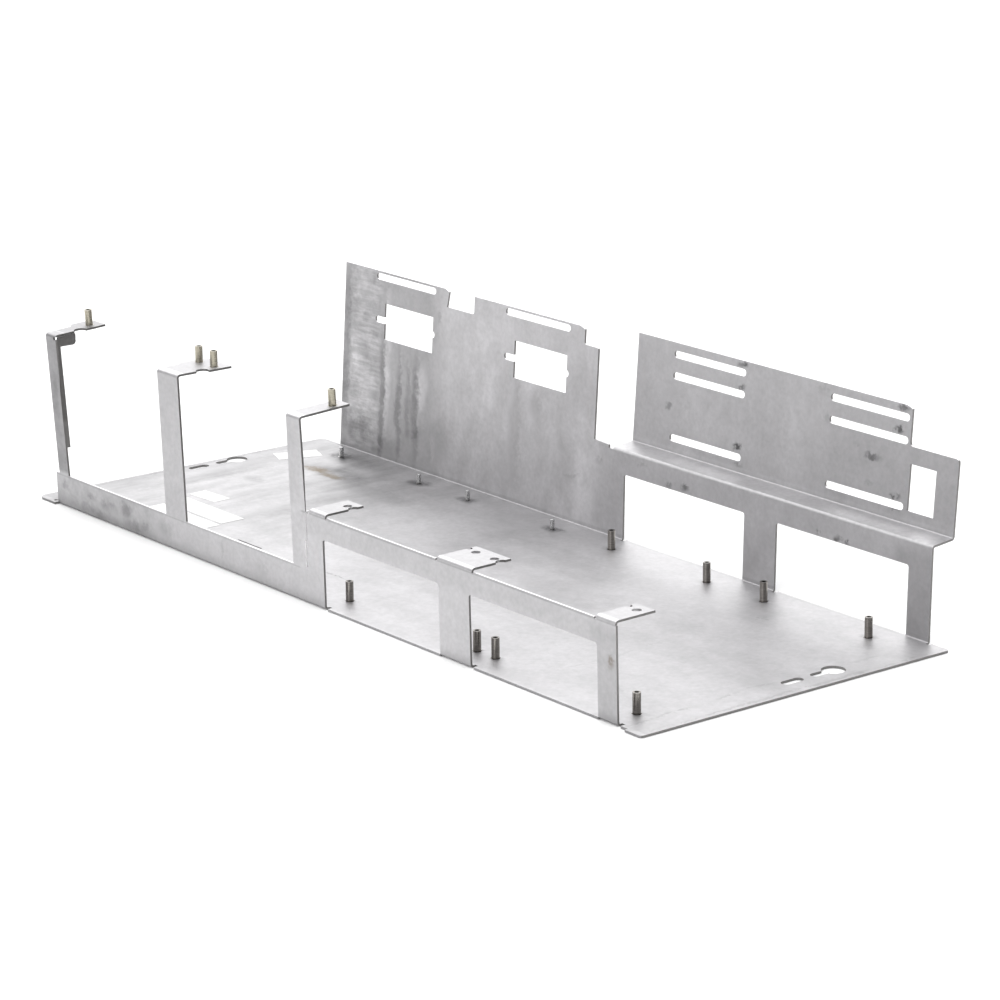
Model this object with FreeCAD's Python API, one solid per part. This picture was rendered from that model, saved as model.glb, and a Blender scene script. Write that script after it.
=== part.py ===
import FreeCAD, Part
import math
import os

V = FreeCAD.Vector

# Sheet, in millimetres. Places run from the base's left end and the front wall's outer face,
# with heights from the base's underside
sheet = 1.2
bend_inner = 0.8
lean_radius = 40.0
bend_flat = 1.0
loose = 0.02

# Base
base_length = 540.0
base_width = 200.0
left_corner = 5.0
right_corner = 1.8
front_lip = 2.0
flush_run = 7.6
rear_setback = 0.8
relief_width = 2.4
slit_relief = 0.5

# Base holes
left_hole_inset = 7.4
right_hole_inset = 14.4
right_hole_shift = 2.5
end_slot_length = 13.4
end_slot_width = 5.5
end_slot_y = 103.9
keyhole_round = 6.2
keyhole_y = 131.2
keyhole_neck = 5.0
keyhole_start = 116.4
corner_hole_radius = 1.3
corner_hole_x = 14.5
corner_hole_y = 0.8
slit_left = 149.2
slit_length = 23.0
slit_width = 0.9
slit_y = 36.0

# Bays: a pair at each end, measured to the middle of the bay nearest that end, with a gap
# between the pairs' nearest middles
left_bay_inset = 83.0
right_bay_inset = 80.5
pair_gap = 128.5

# Windows beside the base
window_post = 24.8
window_top = 38.3
window_corner = 1.5
front_window_shift = -2.8

# Front wall
front_left = 18.5
front_past_row = 6.5
strip_top = 19.2
bay_top = 50.8
front_lean = 1.04

# Arm at the left end
arm_a_left = 21.8
arm_a_width = 9.9
arm_a_foot_top = 31.0
arm_a_foot_step = 1.0
arm_a_lean = 3.57
arm_a_height = 102.3
arm_a_tilt = 3.2
arm_a_tip = 27.5
arm_a_ear = 3.8
arm_a_wing = 1.0
arm_a_notch_y = 11.2

# Flange and gusset on the left arm
flange_depth = 3.2
flange_low = 36.0
gusset_low = 95.3
gusset_reach = 13.7
gusset_corner = 2.0
gusset_gap = 0.3
corner_relief = 1.8

# Middle arm
arm_b_left = 133.6
arm_b_width = 19.8
arm_b_lean = 1.89
arm_b_height = 102.0
arm_b_tilt = 0.0
arm_b_tip = 31.0
arm_b_ear = 2.6
arm_b_wing = 2.2
arm_b_notch_y = 13.3

# Arm beside the right bays
arm_c_before_row = 25.4
arm_c_width = 11.9
arm_c_foot = 13.4
arm_c_lean = 1.72
arm_c_height = 101.2
arm_c_tilt = 3.0
arm_c_tip = 29.5

# Edge shapes of the tall arms' tabs
ear_start = 11.0
ear_full = 14.0
ear_cut = 3.0
tall_notch_length = 7.2
tall_notch_depth = 3.2

# Low tabs along the right bays
low_tab_height = 52.4
low_tab_tilt = 0.8
low_tab_tip = 23.8
low_tab_side = 14.0
low_tab_middle = 28.0
low_tab_lead = 8.0
low_notch_y = 17.2
low_notch_length = 6.0
low_notch_depth = 2.2
low_nick_y = 18.8
low_nick_length = 2.6
low_nick_depth = 2.4
low_hole_radius = 2.4
first_tab_gap = 3.0
tab_relief_width = 1.6
tab_relief_depth = 0.8

# Rear walls
rear_left = 19.0
rear_right_inset = 14.8
rear_left_lean = 3.85
rear_right_lean = 1.59
low_edge = 52.3
split_relief_low = 50.5

# Where the rear edges stand, as shares of the way from the left pair's slots to the right pair's
second_share = 0.17
split_share = 0.336
relief_share = 0.535
step_share = 0.589

# Left panel's outline
left_panel_top = 113.2
panel_chamfer_run = 4.0
panel_chamfer_drop = 1.4
top_past_slot = 12.5
notch_undercut = 1.6
notch_floor = 102.8
notch_fillet = 1.5
shoulder_top = 103.4
shoulder_corner = 1.5

# Stepped panel on the right
ledge_height = 51.6
ledge_depth = 14.3
ledge_rise = 1.4
stepped_lean = 4.46
stepped_top = 113.6
side_past_slot = 1.6
stepped_shoulder = 93.2
stepped_fillet = 2.0
stepped_corner = 2.0

# Long slots and ports in the tall panels
slot_length = 58.2
slot_width = 4.0
left_slot_shift = -3.6
left_slot_high = 109.9
left_slot_low = 84.2
right_slot_high = 107.2
right_slot_middle = 95.4
right_slot_low = 61.2
port_width = 47.3
port_low = 73.1
port_high = 94.5
side_port_past_slot = 2.8
side_port_width = 18.8
side_port_low = 60.0
side_port_high = 84.2

# Clinched fasteners
barrel_radius = 2.1
bore_radius = 1.25
bore_floor = 0.5
head_across = 4.8
base_standoff_height = 10.8
tab_standoff_height = 8.8
stud_radius = 1.5
stud_height = 6.0
stud_head_across = 4.2
undercut_radius = 1.2
undercut_height = 0.3
front_row_y = 17.3
front_row_gap = 15.0
rear_row_inset = 17.4
rear_row_gap = 45.0
stud_row_gap = 46.4
stud_row_shift = -1.2
arm_a_hole_x = 4.2
arm_a_hole_y = 21.0
arm_b_first_hole_x = 1.9
arm_b_second_hole_x = 16.4
arm_b_hole_y = 23.25
arm_c_hole_x = 7.1
arm_c_hole_y = 22.0

# Paper labels: middle, length, width and turn
label_thickness = 0.12
small_label_x = 65.4
small_label_y = 73.1
small_label_length = 24.0
small_label_width = 11.5
small_label_turn = 4.0
upper_label_x = 88.0
upper_label_y = 54.2
upper_label_length = 58.0
upper_label_width = 15.5
lower_label_x = 90.0
lower_label_y = 39.0
lower_label_length = 58.0
lower_label_width = 11.0
end_label_x = 22.5
end_label_y = 164.9
end_label_length = 27.0
end_label_width = 15.0
end_label_turn = 70.0

# Places that follow from the sizes above
bay_pitch = (base_length - left_bay_inset - right_bay_inset - pair_gap) / 2
window_width = bay_pitch - window_post
left_bays = (left_bay_inset, left_bay_inset + bay_pitch)
right_bays = (base_length - right_bay_inset - bay_pitch, base_length - right_bay_inset)
front_row_half = (bay_pitch - front_row_gap) / 2
rear_row_half = (bay_pitch - rear_row_gap) / 2
stud_row_half = (bay_pitch - stud_row_gap) / 2
front_right = right_bays[1] + front_row_half + front_past_row
rear_right = base_length - rear_right_inset
rear_row_y = base_width - rear_row_inset
bend_zone = bend_inner + sheet + bend_flat
fold_inset = bend_inner + sheet
arm_a_right = arm_a_left + arm_a_width
arm_b_right = arm_b_left + arm_b_width
arm_c_left = right_bays[0] - front_row_half - arm_c_before_row
arm_c_right = arm_c_left + arm_c_width
bay_left = arm_c_left + arm_c_foot
first_tab = bay_left + first_tab_gap
middle_tab = right_bays[0] + front_row_half - low_tab_lead
last_tab = right_bays[1] + front_row_half - low_tab_lead
low_tab_ranges = (
    (first_tab, first_tab + low_tab_side),
    (middle_tab, middle_tab + low_tab_middle),
    (last_tab, last_tab + low_tab_side),
)
last_left_slot = left_bays[1] + left_slot_shift + slot_length / 2
slot_room = right_bays[0] - slot_length / 2 - last_left_slot
second_right = last_left_slot + slot_room * second_share
rear_split = last_left_slot + slot_room * split_share
split_relief_left = last_left_slot + slot_room * relief_share
step_left = last_left_slot + slot_room * step_share
notch_left = left_bays[0] + left_slot_shift + slot_length / 2 + top_past_slot
notch_right = (left_bays[0] + left_bays[1]) / 2
last_right_slot = right_bays[1] + slot_length / 2
stepped_side = last_right_slot + side_past_slot
side_port_left = last_right_slot + side_port_past_slot

# Overshoot of the cutters past what they cut
past = 10.0
far_above = 150.0


def row_places(bays, half):
    """Places along the length of a row with two fasteners to each bay."""
    return [bay + side * half for bay in bays for side in (-1, 1)]


front_row_places = row_places(right_bays, front_row_half)

PLANES = {
    "xy": FreeCAD.Rotation(),
    "xz": FreeCAD.Rotation(V(1, 0, 0), 90),
    "yz": FreeCAD.Rotation(V(1, 1, 1), 120),
}
NORMALS = {"xy": V(0, 0, 1), "xz": V(0, 1, 0), "yz": V(1, 0, 0)}


def slope(degrees):
    """Sideways run for each millimetre of rise."""
    return math.tan(math.radians(degrees))


def arc_corner(before, here, after, radius):
    """Both tangent points, the middle and the centre of an arc that rounds a corner."""
    towards = (here - before).normalize()
    away = (after - here).normalize()
    turn = towards.getAngle(away)
    tangent = radius * math.tan(turn / 2)
    first = here - towards * tangent
    last = here + away * tangent
    bisector = (away - towards).normalize()
    centre = here + bisector * (radius / math.cos(turn / 2))
    middle = centre - bisector * radius
    return first, middle, last, centre


def outline(points):
    """Closed wire through (a, b, corner radius) points in the flat plane."""
    corners = [V(a, b, 0) for a, b, radius in points]
    count = len(points)
    edges = []
    runs = []
    for i in range(count):
        radius = points[i][2]
        if radius > 0:
            first, middle, last, centre = arc_corner(corners[i - 1], corners[i], corners[(i + 1) % count], radius)
            runs.append((first, last, Part.Arc(first, middle, last).toShape()))
        else:
            runs.append((corners[i], corners[i], None))
    for i in range(count):
        start = runs[i][1]
        end = runs[(i + 1) % count][0]
        if runs[i][2] is not None:
            edges.append(runs[i][2])
        edges.append(Part.makeLine(start, end))
    return Part.Wire(edges)


def raise_wire(wire, plane, low, high):
    """Solid from a flat wire that is stood in a plane and drawn out from one level to another."""
    face = Part.Face(wire)
    face.Placement = FreeCAD.Placement(NORMALS[plane] * low, PLANES[plane])
    return face.extrude(NORMALS[plane] * (high - low))


def prism(points, plane, low, high):
    """Solid from an outline with rounded corners."""
    return raise_wire(outline(points), plane, low, high)


def block(x0, x1, y0, y1, z0, z1):
    """Plain box between two corners."""
    return Part.makeBox(x1 - x0, y1 - y0, z1 - z0, V(x0, y0, z0))


def slot_wire(centre_a, centre_b, length, width):
    """Round-ended slot in the flat plane, along its first direction."""
    half = (length - width) / 2
    radius = width / 2
    low_left = V(centre_a - half, centre_b - radius, 0)
    low_right = V(centre_a + half, centre_b - radius, 0)
    high_left = V(centre_a - half, centre_b + radius, 0)
    high_right = V(centre_a + half, centre_b + radius, 0)
    right_end = V(centre_a + half + radius, centre_b, 0)
    left_end = V(centre_a - half - radius, centre_b, 0)
    return Part.Wire([
        Part.makeLine(low_left, low_right),
        Part.Arc(low_right, right_end, high_right).toShape(),
        Part.makeLine(high_right, high_left),
        Part.Arc(high_left, left_end, low_left).toShape(),
    ])


def folded_wire(points):
    """Section of a folded strip in the flat plane.

    Each point is (a, b, inner radius) on one face of the sheet, and the metal lies on the
    right of the way along the points. A bend has the same centre on both faces.
    """
    corners = [V(a, b, 0) for a, b, radius in points]
    last_index = len(corners) - 1
    seen = []
    hidden = []
    seen_at = corners[0]
    start_way = (corners[1] - corners[0]).normalize()
    hidden_start = corners[0] + V(start_way.y, -start_way.x, 0) * sheet
    hidden_at = hidden_start
    for i in range(1, last_index):
        towards = corners[i] - corners[i - 1]
        away = corners[i + 1] - corners[i]
        inner = points[i][2]
        turns_left = towards.cross(away).z > 0
        seen_radius = inner if turns_left else inner + sheet
        hidden_radius = inner + sheet if turns_left else inner
        first, middle, last, centre = arc_corner(corners[i - 1], corners[i], corners[i + 1], seen_radius)
        ratio = hidden_radius / seen_radius
        hidden_first = centre + (first - centre) * ratio
        hidden_middle = centre + (middle - centre) * ratio
        hidden_last = centre + (last - centre) * ratio
        seen.append(Part.makeLine(seen_at, first))
        seen.append(Part.Arc(first, middle, last).toShape())
        hidden.append(Part.makeLine(hidden_at, hidden_first))
        hidden.append(Part.Arc(hidden_first, hidden_middle, hidden_last).toShape())
        seen_at = last
        hidden_at = hidden_last
    end = corners[last_index]
    end_way = (end - corners[last_index - 1]).normalize()
    hidden_end = end + V(end_way.y, -end_way.x, 0) * sheet
    seen.append(Part.makeLine(seen_at, end))
    hidden.append(Part.makeLine(hidden_at, hidden_end))
    caps = [Part.makeLine(end, hidden_end), Part.makeLine(corners[0], hidden_start)]
    return Part.Wire(Part.sortEdges(seen + hidden + caps)[0])


def folded(points, left, right):
    """Folded strip between two places along the length."""
    return raise_wire(folded_wire(points), "yz", left, right)


def front_points(height):
    """Section of the front wall alone, up to a height."""
    return [
        (bend_zone, 0, 0),
        (0, 0, bend_inner),
        (-slope(front_lean) * height, height, 0),
    ]


def arm_points(lean, height, tilt, tip):
    """Section of an arm that leans from the strip's top and ends in an inward tab."""
    knee_y = -slope(front_lean) * strip_top
    top_y = knee_y - slope(lean) * (height - strip_top)
    return [
        (bend_zone, 0, 0),
        (0, 0, bend_inner),
        (knee_y, strip_top, lean_radius),
        (top_y, height, bend_inner),
        (tip, height + slope(tilt) * (tip - top_y), 0),
    ]


def bite(edge_x, middle_y, length, depth, low, high):
    """Round bite out of an edge on the right of a tab."""
    radius = (length * length / 4 + depth * depth) / (2 * depth)
    return Part.makeCylinder(radius, high - low, V(edge_x + radius - depth, middle_y, low))


def base_plate():
    """Flat of the base, with its edges set back where a wall is folded up."""
    front_edge = -front_lip
    rear_edge = base_width - rear_setback
    plate = prism([
        (0, front_edge, left_corner),
        (base_length, front_edge, right_corner),
        (base_length, rear_edge, right_corner),
        (0, rear_edge, left_corner),
    ], "xy", 0, sheet)
    low = -past
    high = past
    plate = plate.cut([
        block(front_left - slit_relief, front_right + relief_width, front_edge - past, bend_zone, low, high),
        block(front_right, front_right + flush_run, front_edge - past, 0, low, high),
        block(rear_left - slit_relief, rear_right + relief_width,
              base_width - bend_zone, base_width + past, low, high),
    ])
    edges = []
    for bay in right_bays:
        left = bay - window_width / 2
        right = bay + window_width / 2
        edges.append(block(left + front_window_shift + relief_width, right + front_window_shift,
                           0, bend_zone, 0, sheet))
        edges.append(block(left + relief_width, right, base_width - bend_zone, base_width, 0, sheet))
    return plate.multiFuse(edges)


def base_holes():
    """End slots, keyholes, corner hole and slit through the base."""
    tools = []
    low = -past
    high = past
    neck_length = keyhole_y - keyhole_start
    for x, shift in ((left_hole_inset, 0), (base_length - right_hole_inset, right_hole_shift)):
        slot = raise_wire(slot_wire(0, 0, end_slot_length, end_slot_width), "xy", low, high)
        slot.rotate(V(0, 0, 0), V(0, 0, 1), 90)
        slot.translate(V(x, end_slot_y + shift, 0))
        tools.append(slot)
        neck = raise_wire(slot_wire(0, 0, neck_length + keyhole_neck / 2, keyhole_neck), "xy", low, high)
        neck.rotate(V(0, 0, 0), V(0, 0, 1), 90)
        neck.translate(V(x, keyhole_start + shift + (neck_length + keyhole_neck / 2) / 2, 0))
        tools.append(neck.fuse(Part.makeCylinder(keyhole_round, high - low, V(x, keyhole_y + shift, low))))
    tools.append(Part.makeCylinder(corner_hole_radius, high - low, V(corner_hole_x, corner_hole_y, low)))
    tools.append(block(slit_left, slit_left + slit_length, slit_y - slit_width / 2, slit_y + slit_width / 2,
                       low, high))
    return tools


def windows(shift, y0, y1):
    """Cutters for the windows beside the base, open at their foot."""
    tools = []
    for bay in right_bays:
        left = bay + shift - window_width / 2
        right = left + window_width
        tools.append(prism([
            (left, -past, 0),
            (right, -past, 0),
            (right, window_top, window_corner),
            (left, window_top, window_corner),
        ], "xz", y0, y1))
    return tools


def front_wall():
    """Low strip on the left and the taller wall with two windows on the right."""
    strip = folded(front_points(strip_top), front_left, bay_left)
    bays = folded(front_points(bay_top), bay_left, front_right)
    return strip.fuse(bays)


def kept(strip, upright, tab, tab_from):
    """A strip trimmed to its upright's outline and, past its top bend, to its tab's outline."""
    near = prism(upright, "xz", -past * 2, tab_from)
    over = prism(tab, "xy", strip_top, far_above)
    return strip.common(near.fuse(over))


def eared_tab(left, right, ear, wing, wing_from, tab_from, tip):
    """Outline of a tall arm's tab, which widens to an ear on its left and a wing on its right."""
    return [
        (left, tab_from, 0),
        (right, tab_from, 0),
        (right, wing_from, 0),
        (right + wing, wing_from, 0),
        (right + wing, tip + past, 0),
        (ear + ear_cut, tip + past, 0),
        (ear + ear_cut, tip, 0),
        (ear, tip - ear_cut, 0),
        (ear, ear_full, 0),
        (left, ear_start, 0),
    ]


def arm_top(lean, height):
    """Where an arm's outer face meets the top of its tab."""
    return -slope(front_lean) * strip_top - slope(lean) * (height - strip_top)


def arm_a():
    """Left arm, with a flange down its right edge and a gusset below its tab."""
    top_y = arm_top(arm_a_lean, arm_a_height)
    tab_from = top_y + fold_inset
    ear = arm_a_left - arm_a_ear
    strip = folded(arm_points(arm_a_lean, arm_a_height, arm_a_tilt, arm_a_tip), ear, arm_a_right + arm_a_wing)
    step = arm_a_left - front_left
    foot_right = arm_a_right - arm_a_foot_step
    upright = [
        (front_left, strip_top - sheet, 0),
        (foot_right, strip_top - sheet, 0),
        (foot_right, flange_low - sheet, 0),
        (arm_a_right, flange_low, 0),
        (arm_a_right, far_above, 0),
        (arm_a_left, far_above, 0),
        (arm_a_left, arm_a_foot_top + step / 2, 0),
        (front_left, arm_a_foot_top - step / 2, 0),
    ]
    tab = eared_tab(arm_a_left, arm_a_right, ear, arm_a_wing, arm_a_notch_y, tab_from, arm_a_tip)
    arm = kept(strip, upright, tab, tab_from)
    arm = arm.cut(bite(arm_a_right, arm_a_notch_y, tall_notch_length, tall_notch_depth, strip_top, far_above))
    flat_edge = arm_a_right - fold_inset
    bend_start = arm_a_height - fold_inset
    arm = arm.cut(block(flat_edge, arm_a_right + past, -past * 2, tab_from, flange_low, bend_start))
    arm = arm.multiFuse([side_flange(flat_edge, bend_start), gusset(top_y, bend_start)])
    relief = block(arm_a_right - corner_relief, arm_a_right + past, top_y - past, tab_from,
                   bend_start - corner_relief / 2, bend_start + corner_relief / 2)
    return arm.cut(relief)


def side_flange(flat_edge, bend_start):
    """Flange folded off the left arm's right edge, along its leaning face."""
    section = folded_wire([
        (arm_a_right, flange_depth, 0),
        (arm_a_right, 0, bend_inner),
        (flat_edge - bend_flat, 0, 0),
    ])
    run = (bend_start - strip_top) / math.cos(math.radians(arm_a_lean))
    flange = raise_wire(section, "xy", 0, run + past)
    flange.rotate(V(0, 0, 0), V(1, 0, 0), arm_a_lean)
    flange.translate(V(0, -slope(front_lean) * strip_top, strip_top))
    return flange.common(block(flat_edge - past, arm_a_right + past, -past * 2, past, flange_low, bend_start))


def gusset(top_y, bend_start):
    """Web of the left arm's flange that reaches in below the tab."""
    inset = fold_inset + loose
    free_y = top_y + gusset_reach
    low_y = arm_top(arm_a_lean, gusset_low) + inset
    high_y = arm_top(arm_a_lean, bend_start) + inset
    below_tab = arm_a_height - sheet - gusset_gap
    return prism([
        (low_y, gusset_low, 0),
        (free_y, gusset_low, gusset_corner),
        (free_y, below_tab + slope(arm_a_tilt) * gusset_reach, 0),
        (high_y, below_tab + slope(arm_a_tilt) * inset, 0),
    ], "yz", arm_a_right - sheet, arm_a_right)


def arm_b():
    """Middle arm with a wide tab for two standoffs."""
    tab_from = arm_top(arm_b_lean, arm_b_height) + fold_inset
    ear = arm_b_left - arm_b_ear
    strip = folded(arm_points(arm_b_lean, arm_b_height, arm_b_tilt, arm_b_tip), ear, arm_b_right + arm_b_wing)
    upright = [
        (arm_b_left, strip_top - sheet, 0),
        (arm_b_right, strip_top - sheet, 0),
        (arm_b_right, far_above, 0),
        (arm_b_left, far_above, 0),
    ]
    tab = eared_tab(arm_b_left, arm_b_right, ear, arm_b_wing, arm_b_notch_y, tab_from, arm_b_tip)
    arm = kept(strip, upright, tab, tab_from)
    return arm.cut(bite(arm_b_right, arm_b_notch_y, tall_notch_length, tall_notch_depth, strip_top, far_above))


def arm_c():
    """Arm at the start of the right bays, a little wider towards its foot."""
    tab_from = arm_top(arm_c_lean, arm_c_height) + fold_inset
    strip = folded(arm_points(arm_c_lean, arm_c_height, arm_c_tilt, arm_c_tip), arm_c_left, bay_left)
    upright = [
        (arm_c_left, strip_top - sheet, 0),
        (bay_left, strip_top - sheet, 0),
        (bay_left, bay_top, 0),
        (arm_c_right, arm_c_height - fold_inset, 0),
        (arm_c_right, far_above, 0),
        (arm_c_left, far_above, 0),
    ]
    tab = [
        (arm_c_left, tab_from, 0),
        (arm_c_right, tab_from, 0),
        (arm_c_right, arm_c_tip + past, 0),
        (arm_c_left, arm_c_tip + past, 0),
    ]
    return kept(strip, upright, tab, tab_from)


def low_tabs():
    """Tabs folded inwards off the top of the right bays, and the cutters that free their bends."""
    top_y = -slope(front_lean) * low_tab_height
    tip_z = low_tab_height + slope(low_tab_tilt) * (low_tab_tip - top_y)
    root_z = bay_top - past
    section = [
        (-slope(front_lean) * root_z, root_z, 0),
        (top_y, low_tab_height, bend_inner),
        (low_tab_tip, tip_z, 0),
    ]
    first, middle, last = low_tab_ranges
    tabs = [folded(section, left, right) for left, right in low_tab_ranges]
    high = far_above
    bites = [bite(right, low_notch_y, low_notch_length, low_notch_depth, root_z, high)
             for left, right in (first, middle)]
    for left, right in (middle, last):
        nick = bite(0, 0, low_nick_length, low_nick_depth, root_z, high)
        nick.rotate(V(0, 0, 0), V(0, 0, 1), 180)
        nick.translate(V(left, low_nick_y, 0))
        bites.append(nick)
    for x in front_row_places:
        bites.append(Part.makeCylinder(low_hole_radius, high - root_z, V(x, front_row_y, root_z)))
    reliefs = []
    for left, right in low_tab_ranges:
        for edge in (left - tab_relief_width, right):
            reliefs.append(block(edge, edge + tab_relief_width, -past, past, bay_top - tab_relief_depth, high))
    return [tab.cut(bites) for tab in tabs], reliefs


def rear_points(lean, height):
    """Section of a rear wall up to a height, on its inner face."""
    return [
        (base_width - bend_zone, sheet, 0),
        (base_width - sheet, sheet, bend_inner),
        (base_width - sheet + slope(lean) * (height - sheet), height, 0),
    ]


def left_panel():
    """Tall panel at the rear left, with its notched top, long slots and windows."""
    wall = folded(rear_points(rear_left_lean, left_panel_top + past), rear_left, rear_split)
    side_z = left_panel_top - panel_chamfer_drop
    wall = wall.common(prism([
        (rear_left, -past, 0),
        (rear_split, -past, 0),
        (rear_split, shoulder_top, shoulder_corner),
        (second_right, shoulder_top, notch_fillet),
        (second_right, side_z, 0),
        (second_right - panel_chamfer_run, left_panel_top, 0),
        (notch_right, left_panel_top, 0),
        (notch_right, notch_floor, notch_fillet),
        (notch_left - notch_undercut, notch_floor, 0),
        (notch_left, side_z, 0),
        (notch_left - panel_chamfer_run, left_panel_top, 0),
        (rear_left, left_panel_top, 0),
    ], "xz", 0, base_width + far_above))
    near = base_width / 2
    far = base_width + far_above
    tools = []
    for bay in left_bays:
        for height in (left_slot_high, left_slot_low):
            tools.append(raise_wire(slot_wire(bay + left_slot_shift, height, slot_length, slot_width),
                                    "xz", near, far))
        tools.append(block(bay - port_width / 2, bay + port_width / 2, near, far, port_low, port_high))
    return wall.cut(tools)


def twisted_web():
    """Low wall between the two rear panels, where the sheet passes from one lean to the other."""
    wires = []
    for lean, x in ((rear_left_lean, rear_split), (rear_right_lean, step_left)):
        wire = folded_wire(rear_points(lean, low_edge))
        wire.Placement = FreeCAD.Placement(V(x, 0, 0), PLANES["yz"])
        wires.append(wire)
    web = Part.makeLoft(wires, True, True)
    return web.cut(block(split_relief_left, step_left + past, 0, base_width + past * 2, split_relief_low,
                         far_above))


def stepped_panel():
    """Low wall with two windows, the ledge folded back off its top and the panel folded up again."""
    ledge_y = base_width - sheet + slope(rear_right_lean) * (ledge_height - sheet)
    step_y = ledge_y + ledge_depth
    step_z = ledge_height + ledge_rise
    above = stepped_top + past
    section = rear_points(rear_right_lean, ledge_height)[:2] + [
        (ledge_y, ledge_height, bend_inner),
        (step_y, step_z, bend_inner),
        (step_y + slope(stepped_lean) * (above - step_z), above, 0),
    ]
    wall = folded(section, step_left, rear_right)
    side_z = stepped_top - panel_chamfer_drop
    near = 0
    far = base_width + far_above
    wall = wall.common(prism([
        (step_left, -past, 0),
        (rear_right, -past, 0),
        (rear_right, stepped_shoulder, stepped_corner),
        (stepped_side, stepped_shoulder, stepped_fillet),
        (stepped_side, side_z, 0),
        (stepped_side - panel_chamfer_run, stepped_top, 0),
        (step_left, stepped_top, 0),
    ], "xz", near, far))
    tools = windows(0, base_width / 2, far)
    for bay in right_bays:
        for height in (right_slot_high, right_slot_middle, right_slot_low):
            tools.append(raise_wire(slot_wire(bay, height, slot_length, slot_width), "xz", near, far))
    tools.append(block(side_port_left, side_port_left + side_port_width, near, far,
                       side_port_low, side_port_high))
    return wall.cut(tools)


def hexagon(across):
    """Closed wire of a hexagon by its width across flats."""
    side = across / math.sqrt(3)
    flat = across / 2
    corners = [
        V(side, 0, 0),
        V(side / 2, flat, 0),
        V(-side / 2, flat, 0),
        V(-side, 0, 0),
        V(-side / 2, -flat, 0),
        V(side / 2, -flat, 0),
    ]
    return Part.makePolygon(corners + corners[:1])


def standoff(height):
    """Clinched standoff: hexagonal head as thick as the sheet, barrel and blind bore from the top."""
    head = raise_wire(hexagon(head_across), "xy", 0, sheet)
    barrel = Part.makeCylinder(barrel_radius, height, V(0, 0, sheet))
    bore = Part.makeCylinder(bore_radius, height, V(0, 0, sheet + bore_floor))
    return head.fuse(barrel).cut(bore)


def stud():
    """Clinched stud: hexagonal head as thick as the sheet, undercut foot and plain shank."""
    head = raise_wire(hexagon(stud_head_across), "xy", 0, sheet)
    foot = Part.makeCylinder(undercut_radius, undercut_height, V(0, 0, sheet))
    shank = Part.makeCylinder(stud_radius, stud_height - undercut_height, V(0, 0, sheet + undercut_height))
    return head.multiFuse([foot, shank])


def seat(across):
    """Cutter for the hole that a head is pressed into."""
    return raise_wire(hexagon(across + 2 * loose), "xy", -sheet, 2 * sheet)


def on_base(x, y):
    """Placement on the base's underside."""
    return FreeCAD.Placement(V(x, y, 0), FreeCAD.Rotation())


def on_tab(x, y, lean, height, tilt):
    """Placement on the underside of a tall arm's tab, square to the tab."""
    turn = FreeCAD.Rotation(V(1, 0, 0), tilt)
    top = V(x, y, height + slope(tilt) * (y - arm_top(lean, height)))
    return FreeCAD.Placement(top - turn.multVec(V(0, 0, sheet)), turn)


def placed(shape, placement):
    """Copy of a shape at a placement."""
    copy = shape.copy()
    copy.Placement = placement
    return copy


def label(x, y, length, width, turn):
    """Thin paper label lying on the base."""
    paper = block(-length / 2, length / 2, -width / 2, width / 2, 0, label_thickness)
    return placed(paper, FreeCAD.Placement(V(x, y, sheet), FreeCAD.Rotation(V(0, 0, 1), turn)))


def save(shape, name):
    """Writes one sub-part with the origin under the middle of the base."""
    moved = shape.copy()
    moved.translate(V(-base_length / 2, -base_width / 2, 0))
    moved.exportStep("parts/%s.step" % name)
    print(name, len(moved.Solids), moved.isValid(), round(moved.Volume, 2))


os.makedirs("parts", exist_ok=True)

standoffs = []
for number, x in enumerate(front_row_places, 1):
    standoffs.append(("base_standoff_front_%d" % number, on_base(x, front_row_y), base_standoff_height))
for number, x in enumerate(row_places(right_bays, rear_row_half), 1):
    standoffs.append(("base_standoff_rear_%d" % number, on_base(x, rear_row_y), base_standoff_height))
tab_places = [
    ("left", on_tab(arm_a_left + arm_a_hole_x, arm_a_hole_y, arm_a_lean, arm_a_height, arm_a_tilt)),
    ("middle_1", on_tab(arm_b_left + arm_b_first_hole_x, arm_b_hole_y, arm_b_lean, arm_b_height, arm_b_tilt)),
    ("middle_2", on_tab(arm_b_left + arm_b_second_hole_x, arm_b_hole_y, arm_b_lean, arm_b_height, arm_b_tilt)),
    ("right", on_tab(arm_c_left + arm_c_hole_x, arm_c_hole_y, arm_c_lean, arm_c_height, arm_c_tilt)),
]
for name, placement in tab_places:
    standoffs.append(("tab_standoff_" + name, placement, tab_standoff_height))
studs = [("base_stud_%d" % number, on_base(x + stud_row_shift, rear_row_y))
         for number, x in enumerate(row_places(left_bays, stud_row_half), 1)]
labels = [
    label(small_label_x, small_label_y, small_label_length, small_label_width, small_label_turn),
    label(upper_label_x, upper_label_y, upper_label_length, upper_label_width, 0),
    label(lower_label_x, lower_label_y, lower_label_length, lower_label_width, 0),
    label(end_label_x, end_label_y, end_label_length, end_label_width, end_label_turn),
]

tabs, reliefs = low_tabs()
wall = front_wall().cut(windows(front_window_shift, -past, past) + reliefs)
pieces = [wall, arm_a(), arm_b(), arm_c()] + tabs + [left_panel(), twisted_web(), stepped_panel()]
chassis = base_plate().multiFuse(pieces)
seats = [placed(seat(head_across), placement) for name, placement, height in standoffs]
seats += [placed(seat(stud_head_across), placement) for name, placement in studs]
chassis = chassis.cut(base_holes() + seats).removeSplitter()
save(chassis, "chassis_sheet")

for name, placement, height in standoffs:
    save(placed(standoff(height), placement), name)
for name, placement in studs:
    save(placed(stud(), placement), name)
for number, paper in enumerate(labels, 1):
    save(paper, "label_%d" % number)
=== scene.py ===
import math

import bpy
from mathutils import Matrix, Vector


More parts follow.
